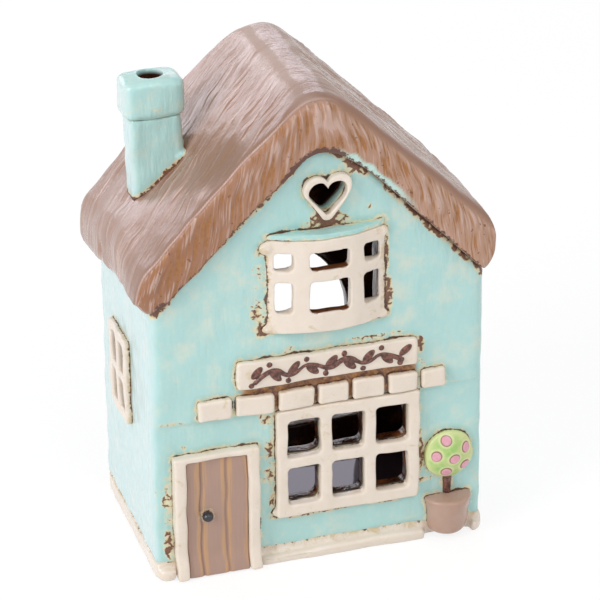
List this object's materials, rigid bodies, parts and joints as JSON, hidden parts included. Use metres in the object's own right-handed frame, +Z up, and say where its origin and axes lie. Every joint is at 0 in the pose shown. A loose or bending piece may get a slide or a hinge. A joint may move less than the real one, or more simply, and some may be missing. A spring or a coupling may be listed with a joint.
{
  "type": "ceramic village house tealight holder",
  "caption": "Small glazed stoneware cottage with a thatched roof, shop front, bowed upper window and chimney; a tealight goes in through the arch in its back and shines out of the windows.",
  "frame": {"origin": "centre of the base's underside, in the plane that the house stands on", "axes": "+Z up, -Y out of the shop front, +X to the right of someone facing the shop front"},
  "size_m": [0.1146, 0.0737, 0.1555],
  "materials": {
    "turquoise_glaze": "glossy glaze",
    "cream_glaze": "glossy glaze",
    "thatch_glaze": "glossy glaze",
    "brown_glaze": "glossy glaze",
    "dark_glaze": "glossy glaze",
    "leaf_glaze": "glossy glaze",
    "flower_glaze": "glossy glaze"
  },
  "bodies": {
    "root": {"front_wall": "turquoise_glaze", "back_wall": "turquoise_glaze", "left_wall": "turquoise_glaze", "right_wall": "turquoise_glaze", "chimney_stack": "turquoise_glaze", "chimney_cap": "turquoise_glaze", "bay_hood": "turquoise_glaze", "base_slab": "cream_glaze", "heart_frame": "cream_glaze", "bay_window": "cream_glaze", "bay_sill": "cream_glaze", "sign_board": "cream_glaze", "shop_window": "cream_glaze", "door_frame": "cream_glaze", "left_window": "cream_glaze", "right_window": "cream_glaze", "lintel_brick_1": "cream_glaze", "lintel_brick_2": "cream_glaze", "lintel_brick_3": "cream_glaze", "lintel_brick_4": "cream_glaze", "lintel_brick_5": "cream_glaze", "lintel_brick_6": "cream_glaze", "lintel_brick_7": "cream_glaze", "thatch_roof": "thatch_glaze", "door_panel": "brown_glaze", "plant_pot": "brown_glaze", "door_knob": "dark_glaze", "topiary_trunk": "dark_glaze", "topiary_ball": "leaf_glaze", "topiary_flower_1": "flower_glaze", "topiary_flower_2": "flower_glaze", "topiary_flower_3": "flower_glaze", "topiary_flower_4": "flower_glaze", "topiary_flower_5": "flower_glaze", "topiary_flower_6": "flower_glaze"}
  },
  "joints": []
}
